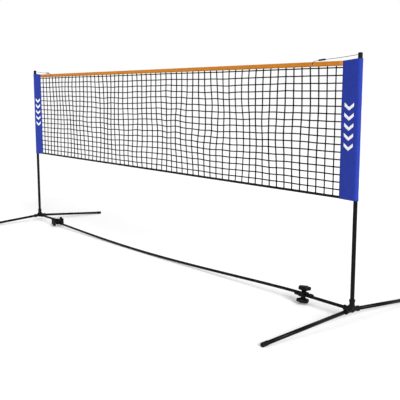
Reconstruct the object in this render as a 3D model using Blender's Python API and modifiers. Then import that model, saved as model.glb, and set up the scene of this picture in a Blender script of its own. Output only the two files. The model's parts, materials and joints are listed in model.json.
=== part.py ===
"""Portable badminton net: two telescopic poles on splayed feet, joined by a sagging floor bar.

Metres, +Z up. The origin is on the floor under the middle of the net. The net runs along X,
the feet run along Y, and "right" is the +X end.
"""

import math

import bmesh
import bpy
from mathutils import Matrix, Vector

# Overall size
HALF_SPAN = 2.05
TOTAL_HEIGHT = 1.535
CONNECTOR_Z = 0.065
FIT_GAP = 0.0003
CUT_PAST = 0.01

# Sides of the round parts
POLE_SEGMENTS = 24
FOOT_SEGMENTS = 16
SOCKET_SEGMENTS = 18
PIN_SEGMENTS = 12

# Feet
FOOT_REACH = 0.715
FOOT_END_Z = 0.0125
FOOT_RADIUS = 0.0115
FOOT_WALL = 0.0012
FOOT_CAP_RADIUS = 0.0138
FOOT_CAP_GRIP = 0.040
FOOT_CAP_DOME = 0.006

# Poles
LOWER_RADIUS = 0.0125
LOWER_WALL = 0.001
LOWER_TOP = 0.78
UPPER_RADIUS = 0.0108
UPPER_WALL = 0.0012
UPPER_BOTTOM = 0.62
UPPER_TOP = 1.510
BUSH_RADIUS = 0.0140
BUSH_LIP = 0.006
BUSH_GRIP = 0.012
BUTTON_Z = 0.74
BUTTON_RADIUS = 0.003
BUTTON_BACK = 0.0065
BUTTON_FRONT = 0.0136
HOLE_START = 0.004
HOLE_END = 0.02
SPRING_LENGTH = 0.040
SPRING_HALF_WIDTH = 0.0052
SPRING_WIRE_RADIUS = 0.0008
HEIGHT_STEP = 0.24
HEIGHT_STEPS = 3

# Pole caps
CAP_RADIUS = 0.0130
CAP_GRIP = 0.013
CAP_BORE = 0.0085
CAP_ROOF = 0.006

# Pole connectors
SOCKET_LENGTH = 0.058
SOCKET_WALL = 0.0034
COLLAR_STEP = 0.0024
COLLAR_LENGTH = 0.012
HUB_RADIUS = 0.0205
BORE_START = 0.024
WEB_SIZE = 0.046
WEB_THICKNESS = 0.007

# Netting, tape and sleeves
NET_TOP = 1.493
SLEEVE_TOP = 1.502
NET_BOTTOM = 0.704
SLEEVE_REACH = 0.122
SLEEVE_RADIUS = 0.0166
SLEEVE_BORE = 0.0146
SLEEVE_ARC_POINTS = 20
FLAP_EDGE = 0.004
TAPE_WIDTH = 0.030
TAPE_THICKNESS = 0.003
BAND_WIDTH = 0.016
BAND_THICKNESS = 0.004
MESH_THICKNESS = 0.002
HOOK_REACH = 0.35
HOOK_SHANK = 0.045
HOOK_HOLE_DROP = 0.015
HOOK_HOLE_RADIUS = 0.005

# Tension cords
CORD_RADIUS = 0.0015
CORD_CLEARANCE = 0.0006
KNOT_RADIUS = 0.0042
CORD_EXIT_Z = 1.5225
CORD_LOCK_LENGTH = 0.050
CORD_LOCK_RADIUS = 0.0052
CORD_LOCK_LIFT = 0.0085
HOOK_WIRE_RADIUS = 0.0014

# Floor bar, its stubs and clamps
BAR_RADIUS = 0.010
BAR_WALL = 0.0012
BAR_SECTIONS = 5
BAR_SECTION_POINTS = 7
SPIGOT_RADIUS = 0.0081
SPIGOT_REACH = 0.07
BAR_LOW_Z = 0.0135
BAR_STRAIGHT_END = 0.135
STUB_END = 1.60
CLAMP_X = 1.655
BAR_END = 1.715
TUBE_SPACING = 0.027
CUP_RADIUS = 0.0132
CUP_DEPTH = 0.022
CUP_DOME = 0.005
CLAMP_LEAN = {"left": math.radians(90.0), "right": math.radians(8.0)}
JAW_SIZE = Vector((0.044, 0.056, 0.0142))
JAW_OUTER = 0.015
JAW_ROUNDING = 0.004
STUD_RADIUS = 0.003
STUD_HALF_LENGTH = 0.0395
KNOB_BORE = 0.0031
KNOB_LOBES = 5
KNOB_RING_POINTS = 25

# Height, mean radius and lobe depth of each ring of a knob, from the end of its bore to its face
KNOB_LEVELS = [
    (0.0255, KNOB_BORE, 0.0), (0.0, KNOB_BORE, 0.0), (0.0, 0.0130, 0.0), (0.0050, 0.0150, 0.0),
    (0.0105, 0.0235, 0.0030), (0.0145, 0.0335, 0.0055), (0.0175, 0.0360, 0.0060),
    (0.0320, 0.0360, 0.0060), (0.0367, 0.0310, 0.0045),
]

SIDES = {"left": -1.0, "right": 1.0}

# Finishes: colour, roughness, metallic
BLACK_TUBE = ((0.012, 0.012, 0.013, 1.0), 0.35, 0.6)
BLACK_PLASTIC = ((0.010, 0.010, 0.011, 1.0), 0.5, 0.0)
BARE_STEEL = ((0.45, 0.45, 0.46, 1.0), 0.3, 1.0)
BLUE_FABRIC = ((0.035, 0.055, 0.40, 1.0), 0.8, 0.0)
ORANGE_FABRIC = ((0.75, 0.25, 0.02, 1.0), 0.8, 0.0)
BLACK_FABRIC = ((0.012, 0.012, 0.012, 1.0), 0.9, 0.0)


def clear_scene():
    """Remove every object the start-up scene holds."""
    for existing in list(bpy.data.objects):
        bpy.data.objects.remove(existing, do_unlink=True)


def new_collection(name):
    """Make a collection under the scene."""
    collection = bpy.data.collections.new(name)
    bpy.context.scene.collection.children.link(collection)
    return collection


def finish_object(obj, finish):
    """Give a sub-part its own material and smooth round faces, and put it with the parts."""
    colour, roughness, metallic = finish
    material = bpy.data.materials.new(obj.name + "_finish")
    material.use_nodes = True
    shader = material.node_tree.nodes["Principled BSDF"]
    shader.inputs["Base Color"].default_value = colour
    shader.inputs["Roughness"].default_value = roughness
    shader.inputs["Metallic"].default_value = metallic
    obj.data.materials.append(material)
    if obj.type == "MESH":
        obj.data.shade_smooth()
        obj.data.set_sharp_from_angle(angle=math.radians(40.0))
    PARTS.objects.link(obj)
    return obj


def as_tool(obj):
    """Put a helper solid, added to or cut from a sub-part, with the hidden tools."""
    obj.hide_render = True
    obj.display_type = "WIRE"
    TOOLS.objects.link(obj)
    return obj


def combine(target, tool, operation):
    """Join a tool to a target, or cut it from the target."""
    modifier = target.modifiers.new(tool.name, "BOOLEAN")
    modifier.operation = operation
    modifier.solver = "EXACT"
    modifier.object = tool


def aim(obj, start, direction):
    """Place an object's origin at a point, with its own Z along a direction."""
    obj.location = start
    obj.rotation_mode = "QUATERNION"
    obj.rotation_quaternion = Vector(direction).to_track_quat("Z", "Y")
    return obj


def mesh_object(name, bm):
    """Turn a bmesh into an object."""
    bmesh.ops.recalc_face_normals(bm, faces=bm.faces)
    mesh = bpy.data.meshes.new(name)
    bm.to_mesh(mesh)
    bm.free()
    return bpy.data.objects.new(name, mesh)


def rod(name, radius, start, end, segments=20, capped=True):
    """Make a cylinder between two points, with its origin at the first."""
    start = Vector(start)
    along = Vector(end) - start
    bm = bmesh.new()
    bmesh.ops.create_cone(bm, cap_ends=capped, segments=segments, radius1=radius, radius2=radius,
                          depth=along.length)
    bmesh.ops.translate(bm, vec=(0.0, 0.0, along.length / 2.0), verts=bm.verts)
    return aim(mesh_object(name, bm), start, along)


def tube(name, radius, wall, start, end, segments=20):
    """Make a hollow tube between two points."""
    obj = rod(name, radius, start, end, segments, capped=False)
    shell = obj.modifiers.new("wall", "SOLIDIFY")
    shell.thickness = wall
    shell.offset = -1.0
    return obj


def box(name, low, high):
    """Make a box between two corners, with its origin at its middle."""
    low = Vector(low)
    high = Vector(high)
    bm = bmesh.new()
    bmesh.ops.create_cube(bm, size=1.0)
    bmesh.ops.scale(bm, vec=high - low, verts=bm.verts)
    obj = mesh_object(name, bm)
    obj.location = (low + high) / 2.0
    return obj


def turned(name, profile, segments=20):
    """Turn a profile of (radius, height) points, which runs down its outer side."""
    mesh = bpy.data.meshes.new(name)
    points = [(radius, 0.0, height) for radius, height in profile]
    edges = [(i, i + 1) for i in range(len(points) - 1)]
    mesh.from_pydata(points, edges, [])
    obj = bpy.data.objects.new(name, mesh)
    screw = obj.modifiers.new("turn", "SCREW")
    screw.steps = segments
    screw.render_steps = segments
    screw.use_merge_vertices = True
    screw.merge_threshold = 0.00001
    screw.use_smooth_shade = True
    return obj


def wire(name, points, radius, resolution=2, capped=True):
    """Make a round wire along a list of points, as a mesh with welded caps."""
    curve = bpy.data.curves.new(name, "CURVE")
    curve.dimensions = "3D"
    curve.bevel_depth = radius
    curve.bevel_resolution = resolution
    curve.use_fill_caps = capped
    spline = curve.splines.new("POLY")
    spline.points.add(len(points) - 1)
    for target, point in zip(spline.points, points):
        target.co = (*point, 1.0)
    curve_object = bpy.data.objects.new(name + "_curve", curve)
    bpy.context.scene.collection.objects.link(curve_object)
    depsgraph = bpy.context.evaluated_depsgraph_get()
    mesh = bpy.data.meshes.new_from_object(curve_object.evaluated_get(depsgraph))
    bpy.data.objects.remove(curve_object, do_unlink=True)
    bm = bmesh.new()
    bm.from_mesh(mesh)
    bmesh.ops.remove_doubles(bm, verts=bm.verts, dist=0.00001)
    bpy.data.meshes.remove(mesh)
    return mesh_object(name, bm)


def web_plate(name, centre, along):
    """Make the triangular web between the upright socket and a socket that runs along a line."""
    up = Vector((0.0, 0.0, 1.0))
    across = up.cross(along).normalized()
    offset = across * (WEB_THICKNESS / 2.0)
    bm = bmesh.new()
    corners = [centre, centre + along * WEB_SIZE, centre + up * WEB_SIZE]
    face = bm.faces.new([bm.verts.new(corner - offset) for corner in corners])
    grown = bmesh.ops.extrude_face_region(bm, geom=[face])
    moved = [item for item in grown["geom"] if isinstance(item, bmesh.types.BMVert)]
    bmesh.ops.translate(bm, vec=offset * 2.0, verts=moved)
    return mesh_object(name, bm)


def foot_direction(sign):
    """Give the unit vector down along a foot, for the front (-1) or the back (+1)."""
    return Vector((0.0, sign * FOOT_REACH, FOOT_END_Z - CONNECTOR_Z)).normalized()


def foot_length():
    """Give the distance from a connector's middle to a foot's end."""
    return math.hypot(FOOT_REACH, CONNECTOR_Z - FOOT_END_Z)


def build_connector(side, sign):
    """Make a moulded four-way connector with a socket for each tube."""
    centre = Vector((sign * HALF_SPAN, 0.0, CONNECTOR_Z))
    name = "base_connector_" + side
    sockets = [
        ("up", Vector((0.0, 0.0, 1.0)), LOWER_RADIUS),
        ("front", foot_direction(-1.0), FOOT_RADIUS),
        ("back", foot_direction(1.0), FOOT_RADIUS),
        ("inner", Vector((-sign, 0.0, 0.0)), BAR_RADIUS),
    ]
    bm = bmesh.new()
    bmesh.ops.create_uvsphere(bm, u_segments=16, v_segments=8, radius=HUB_RADIUS)
    hub = mesh_object(name, bm)
    hub.location = centre
    for label, along, radius in sockets:
        outer = radius + SOCKET_WALL
        mouth = centre + along * SOCKET_LENGTH
        body = as_tool(rod(f"{name}_{label}_body", outer, centre, mouth, SOCKET_SEGMENTS))
        combine(hub, body, "UNION")
        collar_start = mouth - along * COLLAR_LENGTH
        collar_end = mouth + along * 0.001
        collar = as_tool(rod(f"{name}_{label}_collar", outer + COLLAR_STEP, collar_start, collar_end,
                             SOCKET_SEGMENTS))
        combine(hub, collar, "UNION")
        if label != "up":
            combine(hub, as_tool(web_plate(f"{name}_{label}_web", centre, along)), "UNION")
    for label, along, radius in sockets:
        start = centre + along * (BORE_START - 0.001)
        end = centre + along * (SOCKET_LENGTH + CUT_PAST)
        bore = as_tool(rod(f"{name}_{label}_bore", radius + FIT_GAP, start, end))
        combine(hub, bore, "DIFFERENCE")
    finish_object(hub, BLACK_PLASTIC)


def build_foot(side, sign, label, lean):
    """Make one foot tube and the end cap that it stands on."""
    centre = Vector((sign * HALF_SPAN, 0.0, CONNECTOR_Z))
    along = foot_direction(lean)
    end = centre + along * foot_length()
    name = f"{label}_{side}"
    finish_object(tube("foot_tube_" + name, FOOT_RADIUS, FOOT_WALL, centre + along * BORE_START, end,
                       FOOT_SEGMENTS), BLACK_TUBE)
    profile = [
        (0.0, FOOT_CAP_DOME), (0.0085, FOOT_CAP_DOME), (0.0122, 0.0035), (FOOT_CAP_RADIUS, 0.0),
        (FOOT_CAP_RADIUS, -FOOT_CAP_GRIP), (FOOT_RADIUS + FIT_GAP, -FOOT_CAP_GRIP),
        (FOOT_RADIUS + FIT_GAP, FIT_GAP), (0.0, FIT_GAP),
    ]
    cap = aim(turned("foot_cap_" + name, profile), end, along)
    floor_low = end + Vector((-0.05, -0.08, -0.05))
    floor_high = Vector((end.x + 0.05, end.y + 0.08, 0.0))
    combine(cap, as_tool(box("floor_cut_" + name, floor_low, floor_high)), "DIFFERENCE")
    finish_object(cap, BLACK_PLASTIC)


def build_pole(side, sign):
    """Make a telescopic pole: lower tube, bush, upper tube, snap button and its spring."""
    x = sign * HALF_SPAN
    lower = tube("lower_pole_" + side, LOWER_RADIUS, LOWER_WALL, (x, 0.0, CONNECTOR_Z + BORE_START),
                 (x, 0.0, LOWER_TOP), POLE_SEGMENTS)
    for step in range(HEIGHT_STEPS):
        z = BUTTON_Z - step * HEIGHT_STEP
        hole = rod(f"button_hole_{side}_{step}", BUTTON_RADIUS + FIT_GAP, (x, HOLE_START, z),
                   (x, HOLE_END, z), PIN_SEGMENTS)
        combine(lower, as_tool(hole), "DIFFERENCE")
    finish_object(lower, BLACK_TUBE)

    bush_profile = [
        (BUSH_RADIUS - 0.001, BUSH_LIP), (BUSH_RADIUS, BUSH_LIP - 0.0015), (BUSH_RADIUS, -BUSH_GRIP),
        (LOWER_RADIUS + FIT_GAP, -BUSH_GRIP), (LOWER_RADIUS + FIT_GAP, FIT_GAP),
        (UPPER_RADIUS + FIT_GAP, FIT_GAP), (UPPER_RADIUS + FIT_GAP, BUSH_LIP),
        (BUSH_RADIUS - 0.001, BUSH_LIP),
    ]
    bush = turned("pole_bush_" + side, bush_profile, POLE_SEGMENTS)
    bush.location = (x, 0.0, LOWER_TOP)
    finish_object(bush, BLACK_PLASTIC)

    upper = tube("upper_pole_" + side, UPPER_RADIUS, UPPER_WALL, (x, 0.0, UPPER_BOTTOM),
                 (x, 0.0, UPPER_TOP), POLE_SEGMENTS)
    hole = rod("button_seat_" + side, BUTTON_RADIUS + FIT_GAP, (x, HOLE_START, BUTTON_Z),
               (x, HOLE_END, BUTTON_Z), PIN_SEGMENTS)
    combine(upper, as_tool(hole), "DIFFERENCE")
    finish_object(upper, BLACK_TUBE)

    button = rod("snap_button_" + side, BUTTON_RADIUS, (x, BUTTON_BACK, BUTTON_Z),
                 (x, BUTTON_FRONT, BUTTON_Z), PIN_SEGMENTS)
    finish_object(button, BARE_STEEL)
    top = BUTTON_Z + 0.004
    bend_z = BUTTON_Z - SPRING_LENGTH
    bend = [
        (x, SPRING_HALF_WIDTH, top), (x, SPRING_HALF_WIDTH, bend_z), (x, 0.0030, bend_z - 0.008),
        (x, -0.0030, bend_z - 0.008), (x, -SPRING_HALF_WIDTH, bend_z), (x, -SPRING_HALF_WIDTH, top),
    ]
    finish_object(wire("button_spring_" + side, bend, SPRING_WIRE_RADIUS, 1), BARE_STEEL)


def build_pole_cap(side, sign):
    """Make the hollow cap on a pole's top, with the hole that its cord leaves by."""
    base = UPPER_TOP - CAP_GRIP
    top = TOTAL_HEIGHT - base
    roof = top - CAP_ROOF
    profile = [
        (0.0, top), (CAP_RADIUS - 0.0025, top), (CAP_RADIUS - 0.0005, top - 0.0015),
        (CAP_RADIUS, top - 0.005), (CAP_RADIUS, 0.0), (UPPER_RADIUS + FIT_GAP, 0.0),
        (UPPER_RADIUS + FIT_GAP, CAP_GRIP + FIT_GAP), (CAP_BORE, CAP_GRIP + FIT_GAP),
        (CAP_BORE, roof), (0.0, roof),
    ]
    cap = turned("pole_cap_" + side, profile, POLE_SEGMENTS)
    cap.location = (sign * HALF_SPAN, 0.0, base)
    exit_start = (sign * (HALF_SPAN - CAP_BORE / 2.0), 0.0, CORD_EXIT_Z)
    exit_end = (sign * (HALF_SPAN - CAP_RADIUS - CUT_PAST), 0.0, CORD_EXIT_Z)
    hole = rod("cord_exit_" + side, CORD_RADIUS + CORD_CLEARANCE, exit_start, exit_end, PIN_SEGMENTS)
    combine(cap, as_tool(hole), "DIFFERENCE")
    finish_object(cap, BLACK_PLASTIC)


def build_tension_cord(side, sign):
    """Make the cord from a pole cap to the tape, its sliding lock and its wire hook."""
    lock_z = NET_TOP + CORD_LOCK_LIFT
    hook_x = HALF_SPAN - HOOK_REACH
    lock_inner = Vector((sign * (hook_x + HOOK_SHANK), 0.0, lock_z))
    knot = Vector((sign * (HALF_SPAN - 0.002), 0.0, CORD_EXIT_Z))
    exit_point = Vector((sign * (HALF_SPAN - 0.018), 0.0, CORD_EXIT_Z))
    along = (exit_point - lock_inner).normalized()
    lock_outer = lock_inner + along * CORD_LOCK_LENGTH
    cord_end = lock_outer - along * (CORD_LOCK_LENGTH * 0.6)

    cord = wire("tension_cord_" + side, [knot, exit_point, cord_end], CORD_RADIUS, 2)
    bm = bmesh.new()
    bmesh.ops.create_uvsphere(bm, u_segments=10, v_segments=6, radius=KNOT_RADIUS)
    knot_ball = mesh_object("cord_knot_" + side, bm)
    knot_ball.location = knot
    combine(cord, as_tool(knot_ball), "UNION")
    finish_object(cord, BLACK_FABRIC)

    bore = CORD_RADIUS + CORD_CLEARANCE
    lock_profile = [
        (CORD_LOCK_RADIUS - 0.001, CORD_LOCK_LENGTH), (CORD_LOCK_RADIUS, CORD_LOCK_LENGTH - 0.001),
        (CORD_LOCK_RADIUS, 0.001), (CORD_LOCK_RADIUS - 0.001, 0.0), (bore, 0.0),
        (bore, CORD_LOCK_LENGTH), (CORD_LOCK_RADIUS - 0.001, CORD_LOCK_LENGTH),
    ]
    finish_object(aim(turned("cord_lock_" + side, lock_profile, 16), lock_inner, along), BLACK_PLASTIC)

    x = sign * hook_x
    bend = [
        lock_inner + along * 0.010, lock_inner - along * 0.004,
        Vector((x + sign * 0.006, -0.0040, NET_TOP + 0.003)), Vector((x, -0.0052, NET_TOP - 0.009)),
        Vector((x, -0.0030, NET_TOP - 0.0145)), Vector((x, 0.0030, NET_TOP - 0.0145)),
        Vector((x, 0.0052, NET_TOP - 0.009)), Vector((x, 0.0052, NET_TOP - 0.004)),
    ]
    finish_object(wire("cord_hook_" + side, bend, HOOK_WIRE_RADIUS, 2), BLACK_TUBE)


def sleeve_outline(sign):
    """Give the sleeve's outline from above: round the pole, and straight from there to the net."""
    edge = FLAP_EDGE / 2.0
    start = math.atan2(edge, SLEEVE_REACH) + math.acos(SLEEVE_RADIUS / math.hypot(SLEEVE_REACH, edge))
    turn = (2.0 * math.pi - 2.0 * start) / SLEEVE_ARC_POINTS
    outline = [(SLEEVE_REACH, -edge), (SLEEVE_REACH, edge)]
    for point in range(SLEEVE_ARC_POINTS + 1):
        angle = start + turn * point
        outline.append((SLEEVE_RADIUS * math.cos(angle), SLEEVE_RADIUS * math.sin(angle)))
    return [Vector((sign * (HALF_SPAN - reach), y, NET_BOTTOM)) for reach, y in outline]


def build_sleeve(side, sign):
    """Make the fabric sleeve: a pocket round the pole that narrows to a flap at the net."""
    x = sign * HALF_SPAN
    bm = bmesh.new()
    face = bm.faces.new([bm.verts.new(point) for point in sleeve_outline(sign)])
    grown = bmesh.ops.extrude_face_region(bm, geom=[face])
    moved = [item for item in grown["geom"] if isinstance(item, bmesh.types.BMVert)]
    bmesh.ops.translate(bm, vec=(0.0, 0.0, SLEEVE_TOP - NET_BOTTOM), verts=moved)
    sleeve = mesh_object("pole_sleeve_" + side, bm)
    bore = rod("sleeve_bore_" + side, SLEEVE_BORE, (x, 0.0, NET_BOTTOM - CUT_PAST),
               (x, 0.0, SLEEVE_TOP + CUT_PAST), POLE_SEGMENTS)
    combine(sleeve, as_tool(bore), "DIFFERENCE")
    finish_object(sleeve, BLUE_FABRIC)


def build_netting():
    """Make the netting, the tape along its top and the band along its bottom."""
    reach = HALF_SPAN - SLEEVE_REACH - FIT_GAP
    tape_bottom = NET_TOP - TAPE_WIDTH
    band_top = NET_BOTTOM + BAND_WIDTH
    strips = [
        ("top_tape", TAPE_THICKNESS, tape_bottom, NET_TOP, ORANGE_FABRIC),
        ("net_mesh", MESH_THICKNESS, band_top + FIT_GAP, tape_bottom - FIT_GAP, BLACK_FABRIC),
        ("bottom_band", BAND_THICKNESS, NET_BOTTOM, band_top, BLACK_FABRIC),
    ]
    for name, thickness, bottom, top, finish in strips:
        strip = box(name, (-reach, -thickness / 2.0, bottom), (reach, thickness / 2.0, top))
        if name == "top_tape":
            for side, sign in SIDES.items():
                x = sign * (HALF_SPAN - HOOK_REACH)
                z = NET_TOP - HOOK_HOLE_DROP
                eyelet = rod("tape_eyelet_" + side, HOOK_HOLE_RADIUS, (x, -0.01, z), (x, 0.01, z), 16)
                combine(strip, as_tool(eyelet), "DIFFERENCE")
        finish_object(strip, finish)


def clamp_axes(side):
    """Give a clamp's stud direction and the direction from its stub to the floor bar."""
    lean = CLAMP_LEAN[side]
    stud = Vector((0.0, math.sin(lean), math.cos(lean)))
    across = Vector((0.0, math.cos(lean), -math.sin(lean)))
    return stud, across


def bar_end_point(side, sign, x):
    """Give the middle of the floor bar at a distance along X, where a clamp holds it."""
    across = clamp_axes(side)[1]
    return Vector((sign * x, 0.0, CONNECTOR_Z)) + across * TUBE_SPACING


def bar_point(x):
    """Give the middle of the floor bar at a place along X: level at the clamps, low between."""
    left = bar_end_point("left", -1.0, CLAMP_X)
    right = bar_end_point("right", 1.0, CLAMP_X)
    reach = BAR_END - BAR_STRAIGHT_END
    along = min(max((x + reach) / (2.0 * reach), 0.0), 1.0)
    ease = along * along * (3.0 - 2.0 * along)
    y = left.y + (right.y - left.y) * ease
    z = left.z + (right.z - left.z) * ease
    sag = (left.z + right.z) / 2.0 - BAR_LOW_Z
    return Vector((x, y, z - sag * math.sin(math.pi * along) ** 1.2))


def build_floor_bar():
    """Make the floor bar's sections and the spigots inside their joints."""
    length = 2.0 * BAR_END / BAR_SECTIONS
    for index in range(BAR_SECTIONS):
        start = -BAR_END + index * length + FIT_GAP
        step = (length - 2.0 * FIT_GAP) / (BAR_SECTION_POINTS - 1)
        route = [bar_point(start + step * i) for i in range(BAR_SECTION_POINTS)]
        section = wire(f"floor_bar_{index + 1}", route, BAR_RADIUS, 4, capped=False)
        shell = section.modifiers.new("wall", "SOLIDIFY")
        shell.thickness = BAR_WALL
        shell.offset = -1.0
        finish_object(section, BLACK_TUBE)
    for index in range(1, BAR_SECTIONS):
        joint = -BAR_END + index * length
        route = [bar_point(joint + offset) for offset in (-SPIGOT_REACH, 0.0, SPIGOT_REACH)]
        spigot = wire(f"bar_spigot_{index}", route, SPIGOT_RADIUS, 3)
        finish_object(spigot, BARE_STEEL)


def end_cup(name, mouth, along):
    """Make a cup that closes the end of a floor-bar tube."""
    profile = [
        (0.0, CUP_DOME), (CUP_RADIUS - 0.0027, CUP_DOME), (CUP_RADIUS - 0.0004, CUP_DOME / 2.0),
        (CUP_RADIUS, 0.0), (CUP_RADIUS, -CUP_DEPTH), (BAR_RADIUS + FIT_GAP, -CUP_DEPTH),
        (BAR_RADIUS + FIT_GAP, FIT_GAP), (0.0, FIT_GAP),
    ]
    finish_object(aim(turned(name, profile, SOCKET_SEGMENTS), mouth, along), BLACK_PLASTIC)


def build_stub(side, sign):
    """Make the short tube from a connector to its clamp, and the cups on the tube ends there."""
    inner = Vector((sign * STUB_END, 0.0, CONNECTOR_Z))
    outer = Vector((sign * (HALF_SPAN - BORE_START), 0.0, CONNECTOR_Z))
    finish_object(tube("stub_tube_" + side, BAR_RADIUS, BAR_WALL, inner, outer, FOOT_SEGMENTS),
                  BLACK_TUBE)
    end_cup("stub_cup_" + side, inner, (-sign, 0.0, 0.0))
    end_cup("bar_cup_" + side, bar_end_point(side, sign, BAR_END), (sign, 0.0, 0.0))


def knob_mesh(name):
    """Make a lobed star knob, with its clamp face at z = 0 and a blind bore for the stud."""
    bm = bmesh.new()
    rings = []
    for height, radius, lobe in KNOB_LEVELS:
        ring = []
        for point in range(KNOB_RING_POINTS):
            angle = 2.0 * math.pi * point / KNOB_RING_POINTS
            reach = radius + lobe * math.cos(KNOB_LOBES * angle)
            ring.append(bm.verts.new((reach * math.cos(angle), reach * math.sin(angle), height)))
        rings.append(ring)
    for lower, upper in zip(rings, rings[1:]):
        for point in range(KNOB_RING_POINTS):
            after = (point + 1) % KNOB_RING_POINTS
            bm.faces.new((lower[point], lower[after], upper[after], upper[point]))
    bm.faces.new(rings[0])
    bm.faces.new(rings[-1])
    return mesh_object(name, bm)


def build_clamp(side, sign):
    """Make a clamp: two jaws round both tubes, a stud between the tubes and two star knobs."""
    stud_axis, across = clamp_axes(side)
    centre = Vector((sign * CLAMP_X, 0.0, CONNECTOR_Z)) + across * (TUBE_SPACING / 2.0)
    frame = Matrix((Vector((1.0, 0.0, 0.0)), across, stud_axis)).transposed().to_4x4()
    frame.translation = centre
    stud_end = stud_axis * STUD_HALF_LENGTH
    stud = rod("clamp_stud_" + side, STUD_RADIUS, centre - stud_end, centre + stud_end, PIN_SEGMENTS)
    finish_object(stud, BARE_STEEL)
    for label, turn in (("upper", 1.0), ("lower", -1.0)):
        name = f"{label}_{side}"
        bm = bmesh.new()
        bmesh.ops.create_cube(bm, size=1.0)
        bmesh.ops.scale(bm, vec=JAW_SIZE, verts=bm.verts)
        jaw = mesh_object("clamp_jaw_" + name, bm)
        jaw.matrix_world = frame @ Matrix.Translation((0.0, 0.0, turn * (JAW_OUTER - JAW_SIZE.z / 2.0)))
        rounding = jaw.modifiers.new("edges", "BEVEL")
        rounding.width = JAW_ROUNDING
        rounding.segments = 2
        reach = Vector((JAW_SIZE.x, 0.0, 0.0))
        for tube_label, place in (("stub", -1.0), ("bar", 1.0)):
            middle = centre + across * (place * TUBE_SPACING / 2.0)
            saddle = rod(f"saddle_{tube_label}_{name}", BAR_RADIUS + FIT_GAP, middle - reach, middle + reach)
            combine(jaw, as_tool(saddle), "DIFFERENCE")
        through = stud_axis * (JAW_OUTER + CUT_PAST)
        hole = rod("stud_hole_" + name, STUD_RADIUS + FIT_GAP, centre - through, centre + through,
                   PIN_SEGMENTS)
        combine(jaw, as_tool(hole), "DIFFERENCE")
        finish_object(jaw, BLACK_PLASTIC)

        knob = knob_mesh("star_knob_" + name)
        direction = stud_axis * turn
        aim(knob, centre + direction * (JAW_OUTER + FIT_GAP), direction)
        finish_object(knob, BLACK_PLASTIC)


def main():
    """Build every sub-part."""
    for side, sign in SIDES.items():
        build_connector(side, sign)
        build_foot(side, sign, "front", -1.0)
        build_foot(side, sign, "back", 1.0)
        build_pole(side, sign)
        build_pole_cap(side, sign)
        build_tension_cord(side, sign)
        build_sleeve(side, sign)
        build_stub(side, sign)
        build_clamp(side, sign)
    build_netting()
    build_floor_bar()


clear_scene()
PARTS = new_collection("portable_badminton_net")
TOOLS = new_collection("tools")
main()
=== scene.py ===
"""Looks of a portable badminton net: woven sleeves, knotted netting, coated tubes and moulded plastic."""

import json
import logging
import math
from dataclasses import dataclass, field
from enum import Enum
from typing import Callable, Iterable

import bmesh
import bpy
from mathutils import Matrix, Vector, noise


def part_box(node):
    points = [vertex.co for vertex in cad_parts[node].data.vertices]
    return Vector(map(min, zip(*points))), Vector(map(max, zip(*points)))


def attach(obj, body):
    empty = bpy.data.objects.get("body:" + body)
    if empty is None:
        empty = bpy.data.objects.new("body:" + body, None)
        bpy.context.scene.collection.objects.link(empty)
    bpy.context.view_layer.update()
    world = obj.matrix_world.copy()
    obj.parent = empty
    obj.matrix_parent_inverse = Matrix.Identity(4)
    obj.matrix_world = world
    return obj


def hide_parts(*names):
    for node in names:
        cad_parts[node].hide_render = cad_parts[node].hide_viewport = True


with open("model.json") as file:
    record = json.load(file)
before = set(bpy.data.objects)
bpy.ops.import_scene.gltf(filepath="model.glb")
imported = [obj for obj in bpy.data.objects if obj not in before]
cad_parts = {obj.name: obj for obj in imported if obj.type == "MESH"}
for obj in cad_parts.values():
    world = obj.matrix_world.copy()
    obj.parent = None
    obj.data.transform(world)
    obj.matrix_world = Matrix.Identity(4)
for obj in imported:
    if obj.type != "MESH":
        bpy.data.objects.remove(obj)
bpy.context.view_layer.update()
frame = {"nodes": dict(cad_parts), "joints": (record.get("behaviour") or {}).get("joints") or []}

LOG = logging.getLogger("badminton_net")
SIDES: dict[str, float] = {"left": -1.0, "right": 1.0}
FIXED_BODY = "floor_frame"
SLIDING_BODY = "net_carrier"
SHARP_ANGLE = math.radians(38.0)
CAD_KNOT_RADIUS = 0.0042
WELD = 0.00001
SLOPE_ROUNDS = 6
WAVES_PER_UNIT = 20.0
WHITE = (1.0, 1.0, 1.0, 1.0)
Colour = tuple[float, float, float]


class Face(Enum):
    """The two faces of a panel that hangs across Y."""

    FRONT = -1.0
    BACK = 1.0


# ---------------------------------------------------------------- finishes


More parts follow.
